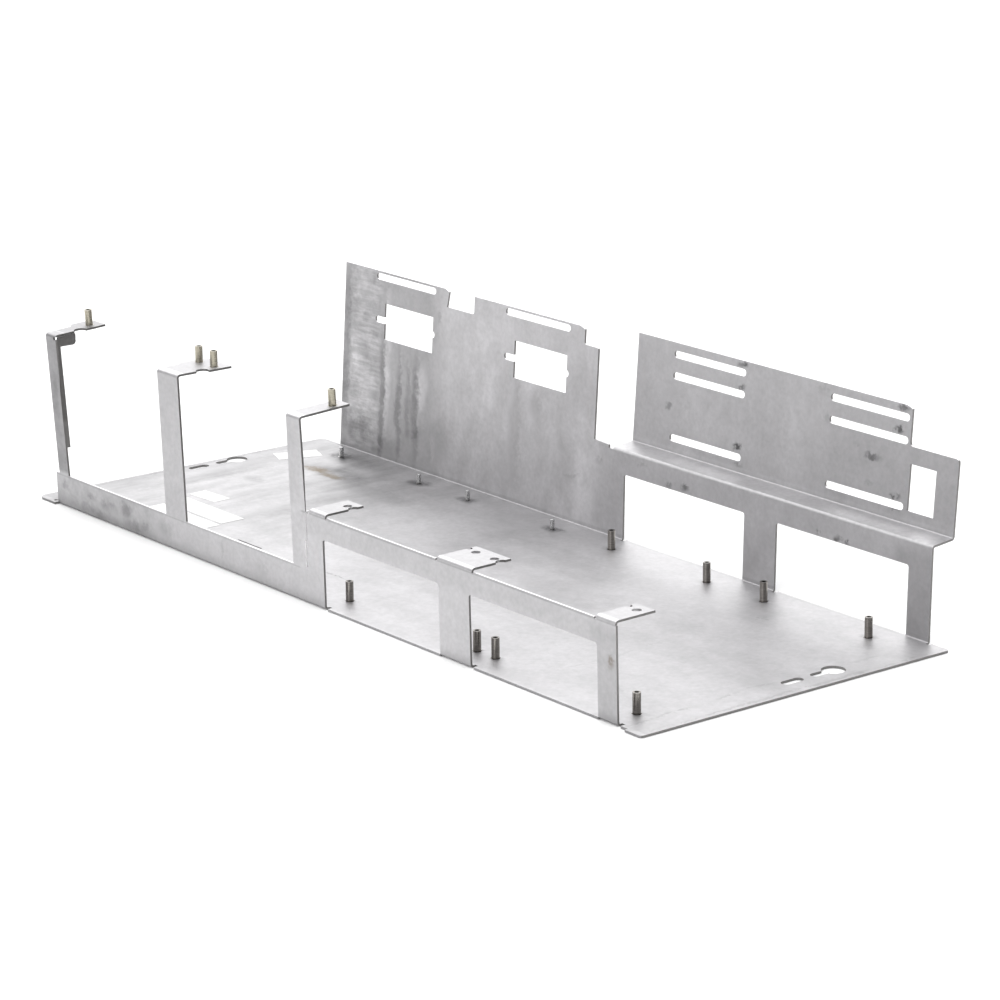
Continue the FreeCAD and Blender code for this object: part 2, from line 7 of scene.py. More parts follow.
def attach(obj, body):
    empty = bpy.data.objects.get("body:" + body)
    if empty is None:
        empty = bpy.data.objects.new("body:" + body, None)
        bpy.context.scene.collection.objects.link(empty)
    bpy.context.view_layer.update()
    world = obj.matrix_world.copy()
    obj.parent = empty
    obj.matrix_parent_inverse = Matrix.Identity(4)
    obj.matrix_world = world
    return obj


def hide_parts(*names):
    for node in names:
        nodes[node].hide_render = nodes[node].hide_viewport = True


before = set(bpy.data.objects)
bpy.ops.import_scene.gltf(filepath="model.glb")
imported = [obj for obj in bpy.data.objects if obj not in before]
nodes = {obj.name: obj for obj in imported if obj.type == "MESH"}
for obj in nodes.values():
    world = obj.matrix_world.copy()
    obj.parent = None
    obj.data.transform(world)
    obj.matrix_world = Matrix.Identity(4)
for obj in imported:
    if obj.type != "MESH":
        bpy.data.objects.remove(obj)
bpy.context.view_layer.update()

MM = 0.001
scene = bpy.context.scene

# Sizes in millimetres. Places run from the base's left end, the front wall and the underside
BASE_LENGTH = 540.0
BASE_WIDTH = 200.0
SHEET = 1.2
FRONT_LEAN = 1.04
LEFT_PANEL_LEAN = 3.85
STEPPED_LEAN = 4.46
LOW_WALL_LEAN = 1.59
STRIP_TOP = 19.2
BAY_TOP = 50.8
LEDGE_HEIGHT = 53.0
LEDGE_DEPTH = 214.5
TAB_HOLE_HEIGHT = 52.5

# Camera: its place in metres from the middle of the base, and its turns in degrees
CAMERA_PLACE = (1.506, -1.1439, 0.5741)
CAMERA_AZIMUTH = 52.159
CAMERA_ELEVATION = 15.820
CAMERA_ROLL = -0.605
CAMERA_LENS = 132.02

# Middles of the fasteners along the base, and of their rows from front to rear
STUD_PLACES = (43.0, 120.6, 167.0, 244.6)
STUD_ROW = 182.6
FRONT_ROW_PLACES = (281.0, 390.0, 405.0, 514.0)
REAR_ROW_PLACES = (296.0, 375.0, 420.0, 499.0)
FRONT_ROW = 17.3

# Studs and their thread
STUD_RADIUS = 1.5
STUD_HEIGHT = 6.0
STUD_HEAD_ACROSS = 4.2
UNDERCUT_RADIUS = 1.2
UNDERCUT_HEIGHT = 0.3
THREAD_PITCH = 0.5
THREAD_DEPTH = 0.28
THREAD_CHAMFER = 0.35
THREAD_END = 0.15
CREST_TOP = 1.25
CREST_SLOPE = 3.0
AROUND = 36
ROWS_PER_PITCH = 8

# How marks fade: an oval's full core, and a stroke's reach and rounded ends in half widths
SPOT_CORE = 0.25
STROKE_REACH = 1.6
STROKE_ENDS = 2.2
STRONGEST_MARK = -0.6

# Lights: name, place and target in metres, width, height and power
LIGHTS = (
    ("overhead", (-0.6, 0.3, 3.0), (-0.6, 0.3, 0), 8.0, 8.0, 290),
    ("rear_wall_of_light", (-3.3, 2.55, 1.5), (0, 0, 1.2), 6.0, 3.0, 70),
    ("front_fill", (0.6, -2.4, 1.4), (0, 0, 0.05), 1.6, 1.2, 19),
)

# The room dims along this direction, between two places on it and two strengths
ROOM_DIRECTION = (0.92, -0.38, 0.0)
ROOM_PLACES = (-0.6, 0.75)
ROOM_STRENGTHS = (0.60, 0.16)

FLOOR_SIZE = 14.0
FLOOR_LEVEL = -0.0002


def place(x, y, z):
    """Point in metres from millimetres off the left end, the front wall and the underside."""
    return Vector(((x - BASE_LENGTH / 2) * MM, (y - BASE_WIDTH / 2) * MM, z * MM))


def on_base(x, y):
    """Point on the base's upper side."""
    return (x, y, SHEET)


def on_front(x, z):
    """Point on the front wall's outer side."""
    return (x, -math.tan(math.radians(FRONT_LEAN)) * z, z)


def on_left_panel(x, z):
    """Point on the inner side of the tall rear panel at the left."""
    return (x, BASE_WIDTH - SHEET + math.tan(math.radians(LEFT_PANEL_LEAN)) * (z - SHEET), z)


def on_stepped_panel(x, z):
    """Point on the inner side of the stepped rear panel."""
    return (x, LEDGE_DEPTH + math.tan(math.radians(STEPPED_LEAN)) * (z - LEDGE_HEIGHT), z)


def on_low_wall(x, z):
    """Point on the inner side of the low rear wall."""
    return (x, BASE_WIDTH - SHEET + math.tan(math.radians(LOW_WALL_LEAN)) * (z - SHEET), z)


# ---------------------------------------------------------------- materials


class Shader:
    """A node material that is built up a step at a time, in millimetres."""

    def __init__(self, name):
        self.material = bpy.data.materials.new(name)
        self.material.use_nodes = True
        self.tree = self.material.node_tree
        self.body = self.tree.nodes["Principled BSDF"]
        where = self.tree.nodes.new("ShaderNodeTexCoord").outputs["Object"]
        corner = (BASE_LENGTH / 2, BASE_WIDTH / 2, 0)
        self.place = self.vector("MULTIPLY_ADD", where, (1 / MM,) * 3, corner)
        self.x, self.y, self.z = self.axes(self.place)
        geometry = self.tree.nodes.new("ShaderNodeNewGeometry")
        self.facing = self.axes(geometry.outputs["True Normal"])

    def link(self, source, target):
        """Sets a socket from another socket or a value."""
        if isinstance(source, bpy.types.NodeSocket):
            self.tree.links.new(source, target)
        else:
            target.default_value = source

    def vector(self, operation, *inputs, output=0):
        """A vector math node."""
        node = self.tree.nodes.new("ShaderNodeVectorMath")
        node.operation = operation
        for value, socket in zip(inputs, node.inputs):
            self.link(value, socket)
        return node.outputs[output]

    def axes(self, vector):
        """The three parts of a vector."""
        node = self.tree.nodes.new("ShaderNodeSeparateXYZ")
        self.tree.links.new(vector, node.inputs[0])
        return node.outputs[0], node.outputs[1], node.outputs[2]

    def math(self, operation, *inputs):
        """A math node."""
        node = self.tree.nodes.new("ShaderNodeMath")
        node.operation = operation
        for value, socket in zip(inputs, node.inputs):
            self.link(value, socket)
        return node.outputs[0]

    def noise(self, size, stretch=(1, 1, 1), detail=4.0, rough=0.55, output="Fac"):
        """Noise from 0 to 1, with blotches of a size in millimetres, stretched along each axis."""
        node = self.tree.nodes.new("ShaderNodeTexNoise")
        squeezed = self.vector("DIVIDE", self.place, stretch)
        self.tree.links.new(squeezed, node.inputs["Vector"])
        node.inputs["Scale"].default_value = 1 / size
        node.inputs["Detail"].default_value = detail
        node.inputs["Roughness"].default_value = rough
        return node.outputs[output]

    def waver(self, size, reach, grain, jitter):
        """Places shifted a little by noise, so that marks drawn on them are ragged."""
        drift = self.tree.nodes.new("ShaderNodeSeparateColor")
        self.tree.links.new(self.noise(size, detail=2.0, output="Color"), drift.inputs[0])
        shake = self.remap(grain, 0.25, 0.75, -jitter - reach / 2, jitter - reach / 2)
        joined = self.tree.nodes.new("ShaderNodeCombineXYZ")
        for axis, part in enumerate((self.x, self.y, self.z)):
            shaken = self.math("ADD", part, shake)
            shifted = self.math("MULTIPLY_ADD", drift.outputs[axis], reach, shaken)
            self.tree.links.new(shifted, joined.inputs[axis])
        self.wavering = joined.outputs[0]

    def remap(self, value, low, high, to_low=0.0, to_high=1.0, smooth=False):
        """A value's range carried to another range, and held at its ends."""
        node = self.tree.nodes.new("ShaderNodeMapRange")
        if smooth:
            node.interpolation_type = "SMOOTHSTEP"
        self.link(value, node.inputs["Value"])
        ends = (("From Min", low), ("From Max", high), ("To Min", to_low), ("To Max", to_high))
        for name, number in ends:
            node.inputs[name].default_value = number
        return node.outputs["Result"]

    def both(self, *masks):
        """Masks multiplied together."""
        result = masks[0]
        for mask in masks[1:]:
            result = self.math("MULTIPLY", result, mask)
        return result

    def band(self, value, low, high, soft):
        """Mask of a range with soft ends."""
        rise = self.remap(value, low - soft, low + soft, smooth=True)
        fall = self.remap(value, high - soft, high + soft, 1.0, 0.0, smooth=True)
        return self.both(rise, fall)

    def block(self, x_range, y_range, z_range, soft, inside=1.0, outside=0.0):
        """A number inside a box-shaped part of the object, and another outside it."""
        ranges = (x_range, y_range, z_range)
        middle = [(low + high) / 2 for low, high in ranges]
        half = [(high - low) / 2 for low, high in ranges]
        off = self.vector("ABSOLUTE", self.vector("SUBTRACT", self.place, middle))
        x, y, z = self.axes(self.vector("SUBTRACT", off, half))
        past = self.math("MAXIMUM", self.math("MAXIMUM", x, y), z)
        return self.remap(past, -soft, soft, inside, outside, smooth=True)

    def side(self, axis, sign):
        """Mask of the faces that point one way along an axis."""
        return self.remap(self.facing[axis], 0.6 * sign, 0.8 * sign, smooth=True)

    def spot(self, middle, half, change):
        """A change of tone in a soft oval, which fades to none at its edge."""
        off = self.vector("SUBTRACT", self.wavering, middle)
        reach = self.vector("LENGTH", self.vector("DIVIDE", off, half), output=1)
        return self.remap(reach, SPOT_CORE, 1.0, change, 0.0, smooth=True)

    def stroke(self, start, end, half_width, change):
        """A change of tone along a straight mark, which fades to none at its sides and ends."""
        start, end = Vector(start), Vector(end)
        length = (end - start).length
        along = (end - start) / length
        off = self.vector("SUBTRACT", self.wavering, tuple((start + end) / 2))
        share = self.vector("DOT_PRODUCT", off, tuple(along), output=1)
        # The square of the distance from the middle, with the run along the mark counted for less
        squeeze = 1 - (half_width * STROKE_ENDS / length) ** 2
        square = self.math("MULTIPLY", self.math("MULTIPLY", share, share), -squeeze)
        far = self.vector("DOT_PRODUCT", off, off, output=1)
        reach = self.math("ADD", far, square)
        edge = (half_width * STROKE_REACH) ** 2
        return self.remap(reach, 0.0, edge, change, 0.0, smooth=True)

    def tone(self, shade, mask, change):
        """A tone made lighter or darker by a share where the mask is."""
        return self.math("MULTIPLY", shade, self.math("MULTIPLY_ADD", mask, change, 1.0))

    def bump(self, height, distance, strength=1.0, under=None):
        """A bump of a real depth in millimetres."""
        node = self.tree.nodes.new("ShaderNodeBump")
        node.inputs["Strength"].default_value = strength
        node.inputs["Distance"].default_value = distance * MM
        self.link(height, node.inputs["Height"])
        if under is not None:
            self.tree.links.new(under, node.inputs["Normal"])
        return node.outputs["Normal"]

    def blend(self, share, first, second, how="MIX"):
        """Two colours mixed by a share."""
        node = self.tree.nodes.new("ShaderNodeMix")
        node.data_type = "RGBA"
        node.blend_type = how
        self.link(share, node.inputs[0])
        self.link(first, node.inputs[6])
        self.link(second, node.inputs[7])
        return node.outputs[2]


# Parts of the sheet as boxes: their ranges in x, y and z
BASE = ((-1, 541), (1.5, 199), (-1, 1.25))
LEFT_PANEL = ((17, 262.5), (196.5, 220), (2.5, 125))
LOW_WALL = ((262.5, 530), (196.5, 206), (2.5, 51))
STEPPED_PANEL = ((262.5, 530), (210, 235), (56, 125))
FRONT_WALLS = ((17, 532), (-20, 1.3), (1, 125))
LEFT_ARM = ((17, 40), (-20, 1.3), (21, 125))
GRIMY_STRIP = ((17, 118), (-20, 1.3), (1, 19))
LEDGE_TOP = ((262, 530), (195, 216), (50.5, 55))
STEP_FACE = ((250, 272), (-3, 1.3), (14, 50.5))

# Tone of the bare sheet, and how parts of it differ: box, soft edge, share of the tone.
# A part that starts behind REAR_WALLS differs on its front side alone
SHEET_TONE = 0.58
REAR_WALLS = 196.0
REGIONS = (
    (BASE, 0.3, 0.80),
    (((-1, 150), (1.5, 199), (-1, 1.25)), 40.0, 0.88),  # base, left part
    (((-1, 21), (-3, 30), (-1, 1.25)), 2.0, 0.76),  # base, front left flap
    (((-1, 12), (1.5, 199), (-1, 1.25)), 6.0, 0.86),  # base, left end
    (((430, 541), (1.5, 199), (-1, 1.25)), 40.0, 0.90),  # base, right part
    (((262, 530), (195, 216), (50, 54.5)), 0.8, 0.94),  # ledge
    (LEFT_PANEL, 0.8, 1.09),
    (((17, 112), (196.5, 220), (2.5, 125)), 14.0, 0.72),  # left panel, left half
    (((244, 262.5), (196.5, 220), (2.5, 62)), 6.0, 1.14),  # left panel, lower right corner
    (STEPPED_PANEL, 0.8, 0.93),
    (((430, 530), (210, 235), (56, 95)), 16.0, 0.92),  # stepped panel, lower right part
    (LOW_WALL, 0.8, 0.95),
    (((500, 530), (196.5, 206), (2.5, 46)), 5.0, 0.82),  # low wall, right post
    (FRONT_WALLS, 0.4, 0.90),
    (((262, 532), (-20, 1.3), (41, 51)), 5.0, 0.95),  # strip over the front windows
    (((262, 500), (-20, 1.3), (1, 38)), 5.0, 1.06),  # posts beside the front windows
    (((17, 130), (-20, 1.3), (1, 19)), 30.0, 0.86),  # front strip, left part
    (((502, 532), (-20, 1.3), (1, 46)), 5.0, 0.86),  # front wall, right post
    (((17, 540), (1.3, 40), (50, 125)), 0.8, 0.83),  # tabs
    (LEFT_ARM, 1.5, 0.56),
    (((17, 40), (1.3, 40), (99, 125)), 0.8, 0.82),  # left arm's tab
    (((130, 156), (-20, 1.3), (21, 125)), 5.0, 0.90),  # middle arm
    (((248, 262), (-20, 1.3), (60, 125)), 8.0, 0.94),  # right arm, upper part
)

# Marks on the left panel: x and height of each end, half width, and how much lighter or darker
PANEL_STROKES = (
    ((20.5, 112), (21.5, 12), 4.2, -0.34),
    ((58.5, 76), (59.3, 2), 2.6, -0.30),
    ((63.0, 104), (64.5, 28), 3.0, 0.26),
    ((74.6, 72), (77.0, 0), 2.4, -0.24),
    ((91.5, 68), (92.8, 8), 3.2, -0.30),
    ((97.5, 64), (99.5, 37), 4.6, 0.20),
    ((84.0, 60), (86.0, 20), 2.4, -0.20),
    ((112.0, 100), (113.0, 92), 2.0, -0.16),
    ((44.0, 14.5), (60.5, 7.5), 1.3, 0.20),
    ((110.0, 24), (110.8, 8), 1.6, 0.16),
    ((186.5, 71), (187.2, 15), 4.2, -0.13),
    ((82.0, 20), (104.0, 26), 2.4, -0.12),
    ((232.0, 26), (245.0, 30), 1.0, -0.14),
)
PANEL_SPOTS = (
    ((34, 103), (9, 13), 0.18),
    ((33, 62), (10, 26), 0.20),
    ((42, 42), (12, 13), 0.16),
    ((38, 16), (22, 14), -0.26),
    ((118, 24), (19, 19), -0.15),
    ((80, 40), (16, 34), -0.07),
    ((68, 88), (12, 10), -0.10),
    ((60, 10), (26, 8), -0.14),
    ((204.5, 62), (8, 9), -0.13),
    ((229, 43), (5, 4), -0.10),
    ((158, 62), (21, 60), 0.07),
)

# Marks on the front walls: x, height, half length and half height, and how much lighter or darker
FRONT_SPOTS = (
    ((28.1, 13.2), (5.5, 4.0), -0.34),
    ((56.5, 12.7), (7.0, 3.5), -0.24),
    ((74.0, 10.0), (16.0, 4.0), -0.16),
    ((91.1, 13.2), (11.0, 5.5), -0.24),
    ((60.0, 4.0), (26.0, 4.5), -0.22),
    ((104.0, 5.0), (16.0, 5.0), -0.20),
    ((131.4, 9.5), (11.0, 6.5), -0.14),
    ((224.8, 8.8), (8.5, 6.5), -0.10),
)
FRONT_STROKES = (
    ((189.0, 17.0), (188.6, 4.0), 0.8, -0.16),
    ((25.5, 50.0), (26.5, 84.0), 3.0, -0.18),
)

# Marks on the base: ends, half width, and how much lighter or darker
BASE_STROKES = (
    # The strokes near x 519 to 526 along the right end are painted shade along a shallow jog in the
    # base
    ((526.0, 4.0), (522.8, 29.0), 1.0, -0.16),
    ((522.8, 29.0), (524.7, 50.0), 1.0, -0.15),
    ((524.7, 50.0), (519.3, 81.0), 1.0, -0.15),
    ((519.3, 81.0), (521.8, 100.0), 1.0, -0.12),
    ((523.1, 147.0), (524.0, 167.0), 1.1, -0.12),
    ((437.8, 32.0), (441.6, 62.0), 0.7, -0.12),
    ((441.6, 62.0), (436.8, 96.0), 0.7, -0.10),
    ((436.6, 159.7), (445.6, 162.7), 0.7, -0.22),
    ((440.4, 156.5), (440.2, 166.4), 0.6, -0.16),
    ((230.6, 37.0), (248.0, 38.0), 0.6, -0.30),
    ((483.7, 32.0), (491.4, 33.3), 0.6, -0.30),
    ((81.4, 22.0), (82.0, 42.0), 0.7, -0.14),
    ((82.0, 42.0), (87.4, 90.0), 0.7, -0.14),
    ((3.2, 8.0), (3.2, 192.0), 0.9, -0.18),
    ((537.0, 8.0), (537.0, 192.0), 0.9, -0.20),
)
BASE_SPOTS = (
    ((51.0, 114.5), (14.0, 7.0), -0.15),
    ((72.0, 158.0), (36.0, 13.0), -0.34),
    ((22.0, 60.0), (10.0, 40.0), -0.12),
    ((56.0, 183.0), (40.0, 13.0), -0.30),
    ((120.0, 150.0), (50.0, 12.0), -0.12),
    ((115.0, 95.0), (14.0, 60.0), -0.10),
    ((28.0, 120.0), (14.0, 60.0), -0.12),
    ((300.0, 150.0), (34.0, 9.0), -0.05),
)

# Darker ovals round the feet of the studs and standoffs: rows, half size and how much darker
FOOT_ROWS = (
    (STUD_PLACES, STUD_ROW, (11.0, 6.5), -0.50),
    (FRONT_ROW_PLACES, FRONT_ROW, (7.0, 5.0), -0.22),
    (REAR_ROW_PLACES, STUD_ROW, (7.5, 5.5), -0.26),
)

# Marks on the stepped panel: x, height, half length and half height, and how much lighter or darker
STEPPED_SPOTS = (
    ((360.8, 111.0), (5.5, 2.6), -0.63),
    ((361.5, 99.5), (5.0, 2.4), -0.66),
    ((361.5, 66.5), (5.5, 3.6), -0.69),
    ((363.0, 57.0), (5.0, 2.2), -0.39),
    ((484.0, 111.5), (6.0, 2.4), -0.51),
    ((482.0, 99.8), (5.0, 2.6), -0.66),
    ((482.0, 65.8), (5.0, 3.2), -0.72),
    ((483.0, 57.6), (5.0, 2.2), -0.36),
    ((463.5, 82.5), (8.0, 3.2), -0.51),
    ((452.0, 86.5), (5.0, 2.0), -0.16),
    ((463.0, 68.5), (5.0, 2.2), -0.14),
    ((303.8, 77.5), (3.5, 2.6), -0.39),
    ((424.0, 110.0), (8.0, 3.0), -0.12),
    ((432.0, 95.0), (12.0, 3.5), -0.12),
    ((405.0, 84.0), (14.0, 34.0), 0.06),
    ((330.0, 80.0), (22.0, 34.0), 0.05),
)

# Marks on the low rear wall, given the same way
LOW_WALL_SPOTS = (
    ((323.1, 40.2), (4.0, 2.6), -0.48),
    ((336.4, 40.8), (4.5, 3.0), -0.50),
    ((441.4, 39.7), (3.5, 2.6), -0.42),
    ((457.2, 40.6), (4.5, 3.0), -0.53),
    ((464.7, 40.1), (3.5, 2.4), -0.48),
    ((301.0, 45.5), (8.0, 1.6), -0.14),
    ((262.0, 42.0), (5.0, 4.0), -0.14),
)

# Brown stains: middle, half size and strength
BROWN_STAINS = (
    (on_base(56, 154.0), (20, 7.5, 3), 0.80),
    (on_base(76, 152.0), (14, 5.0, 3), 0.75),
    (on_front(516.5, 31.8), (3.0, 3.0, 5.0), 0.60),
)
BROWN = (0.20, 0.165, 0.125, 1.0)
# Colours of the sheared edges, dark as darker steel and as painted shade, paler on the tabs and
# arms
DARK_CUT_AND_SHADE = (0.20, 0.195, 0.19, 1.0)
PALE_CUT_AND_SHADE = (0.27, 0.265, 0.26, 1.0)
SHEET_TINT = (1.0, 0.988, 1.008, 1.0)

# Plated metals: name, light and dark colour, roughness
BASE_STANDOFF_PLATE = ("dark_plate", (0.34, 0.322, 0.30, 1.0), (0.20, 0.185, 0.17, 1.0), 0.17)
TAB_STANDOFF_PLATE = ("olive_plate", (0.44, 0.41, 0.335, 1.0), (0.32, 0.30, 0.24, 1.0), 0.20)
STUD_PLATE = ("pale_plate", (0.60, 0.60, 0.605, 1.0), (0.46, 0.46, 0.465, 1.0), 0.22)
FASTENER_FOOT_TONE = (0.07, 0.06, 0.055, 1.0)
FOOT_TONE_HEIGHT = 1.5

PAPER_LIGHT = (0.77, 0.77, 0.765, 1.0)
PAPER_DARK = (0.70, 0.70, 0.695, 1.0)
FLOOR_LIGHT = (0.92, 0.92, 0.92, 1.0)
FLOOR_DARK = (0.90, 0.90, 0.90, 1.0)


def add_spots(s, total, spots, on_surface):
    """A sum of tone changes with more soft ovals on a surface added to it."""
    for (x, far), (half_x, half_far), change in spots:
        mark = s.spot(on_surface(x, far), (half_x, half_far, half_far), change)
        total = s.math("ADD", total, mark)
    return total


def add_strokes(s, total, strokes, on_surface):
    """A sum of tone changes with more straight marks on a surface added to it."""
    for start, end, half_width, change in strokes:
        mark = s.stroke(on_surface(*start), on_surface(*end), half_width, change)
        total = s.math("ADD", total, mark)
    return total


def wall_marks(s):
    """Tone changes by hand marks on the faces that look to the front, added up."""
    total = add_strokes(s, 0.0, PANEL_STROKES, on_left_panel)
    total = add_strokes(s, total, FRONT_STROKES, on_front)
    total = add_spots(s, total, PANEL_SPOTS, on_left_panel)
    total = add_spots(s, total, STEPPED_SPOTS, on_stepped_panel)
    total = add_spots(s, total, LOW_WALL_SPOTS, on_low_wall)
    total = add_spots(s, total, FRONT_SPOTS, on_front)
    return s.math("MAXIMUM", total, STRONGEST_MARK)


def base_marks(s):
    """Tone changes by marks, painted shade along a jog among them, and darker ovals round the feet,
    on the base's upper side, added up.
    """
    total = add_strokes(s, 0.0, BASE_STROKES, on_base)
    total = add_spots(s, total, BASE_SPOTS, on_base)
    for places, row, half, change in FOOT_ROWS:
        total = add_spots(s, total, [((x, row), half, change) for x in places], on_base)
    return s.math("MAXIMUM", total, STRONGEST_MARK)


def shade_regions(s, shade, towards_front):
    """The tone made lighter or darker part by part."""
    rear_share = 1.0
    for box, soft, share in REGIONS:
        factor = s.block(*box, soft, share, 1.0)
        if box[1][0] > REAR_WALLS:
            rear_share = s.math("MULTIPLY", rear_share, factor)
        else:
            shade = s.math("MULTIPLY", shade, factor)
    return s.tone(shade, towards_front, s.math("SUBTRACT", rear_share, 1.0))


def shade_panel(s, shade, panel, brushed, blotches, medium):
    """Brushed smears at the left panel's left end, and faint blotches all over it."""
    smears = s.both(panel, s.remap(s.x, 53, 59, 1.0, 0.0), s.remap(s.x, 23, 29))
    shade = s.tone(shade, s.both(smears, s.remap(brushed, 0.42, 0.62)), 0.30)
    shade = s.tone(shade, s.both(smears, blotches), -0.18)
    return s.tone(shade, s.both(panel, s.remap(medium, 0.35, 0.65)), -0.10)


def shade_grime(s, shade, blotches, towards_front):
    """Grime on the front wall's left part, and the scuffed left arm."""
    grimy = s.both(s.block(*GRIMY_STRIP, 8.0), towards_front)
    shade = s.tone(shade, s.both(grimy, blotches), -0.24)
    shade = s.tone(shade, s.both(grimy, s.remap(s.z, 3, 14, 1.0, 0.0, smooth=True)), -0.12)
    scuffed = s.block(*LEFT_ARM, 1.0)
    return s.tone(shade, s.both(scuffed, s.remap(blotches, 0.0, 1.0, 1.0, 0.0)), 0.16)


def shade_base(s, shade, blotches, upward):
    """Streaks on the base's left part, faint clouds on all of it, and a blotchy ledge."""
    low = s.both(s.remap(s.z, 1.3, 1.4, 1.0, 0.0), upward)
    streaks = s.remap(s.noise(20, stretch=(0.7, 3.0, 1), detail=3.0), 0.42, 0.66)
    left_end = s.remap(s.x, 70, 235, 1.0, 0.0, smooth=True)
    shade = s.tone(shade, s.both(low, left_end, streaks), -0.20)
    smoky = s.remap(s.noise(48, stretch=(1.5, 0.8, 1), detail=3.0), 0.42, 0.66)
    shade = s.tone(shade, s.both(low, smoky), -0.11)
    ledge = s.both(s.block(*LEDGE_TOP, 0.5), upward)
    return s.tone(shade, s.both(ledge, blotches), -0.14)


def paint_shade_at_bends(s, shade, towards_front):
    """Painted shade at the feet of the rear and front walls, and thin painted shadow lines under
    the front wall's upper edges.
    """
    behind = s.remap(s.y, 197, 198)
    painted_foot_shade = s.both(behind, s.remap(s.z, 1.1, 1.3), s.remap(s.z, 3.0, 4.0, 1.0, 0.0))
    shade = s.tone(shade, painted_foot_shade, -0.12)
    wall = s.both(s.remap(s.y, 1.6, 1.2, smooth=True), towards_front)
    left_part = s.remap(s.x, 261, 263, 1.0, 0.0)
    right_part = s.remap(s.x, 264, 266)
    shade = s.tone(shade, s.both(wall, s.remap(s.z, 1.5, 7.0, 1.0, 0.0, smooth=True)), -0.14)
    shade = s.tone(shade, s.both(wall, s.remap(s.z, 1.0, 1.6, 1.0, 0.0)), -0.32)
    strip_shadow_line = s.band(s.z, STRIP_TOP - 1.1, STRIP_TOP - 0.3, 0.2)
    shade = s.tone(shade, s.both(wall, strip_shadow_line, left_part), -0.16)
    bay_shadow_line = s.band(s.z, BAY_TOP - 1.2, BAY_TOP - 0.2, 0.2)
    return s.tone(shade, s.both(wall, bay_shadow_line, right_part), -0.22)


def paint_upper_edge_highlights(s, shade, upward):
    """Painted highlights on the upward edges of the upright sheets."""
    front_edges = s.both(s.remap(s.y, 1.9, 1.5), s.remap(s.z, 9.0, 10.0), upward)
    rear_edges = s.both(s.remap(s.y, 195.5, 196.0), s.remap(s.z, 55.5, 56.0), upward)
    return s.tone(shade, s.math("MAXIMUM", front_edges, rear_edges), 0.42)


def cut_edges_and_shade(s, sideways, downward):
    """Masks of the sheared edges, dark as darker steel and as painted shade, and of those on the
    tabs alone.
    """
    level = s.remap(s.math("ABSOLUTE", s.facing[2]), 0.5, 0.6, 1.0, 0.0)
    tabs = s.both(s.band(s.y, 2.6, 40, 0.3), s.remap(s.z, 50.5, 51.5), level)
    # The base's edge faces at its lower rim, dark as darker steel and as painted shade
    rim = s.both(s.remap(s.z, 1.3, 1.25), s.remap(s.y, 0.4, 1.2), level)
    # Painted shade on the faces of the rear walls that look downward
    shaded_slot_tops = s.both(s.remap(s.z, 12.0, 14.0), downward, s.remap(s.y, 190, 191), 0.6)
    uprights = s.math("MAXIMUM", sideways, tabs)
    cut = s.math("MAXIMUM", uprights, s.math("MAXIMUM", rim, shaded_slot_tops))
    for x in FRONT_ROW_PLACES:
        off = s.vector("SUBTRACT", s.place, (x, FRONT_ROW, TAB_HOLE_HEIGHT))
        hole_wall = s.remap(s.vector("LENGTH", off, output=1), 3.0, 3.2, 0.2, 1.0)
        cut = s.both(cut, hole_wall)
    return cut, tabs


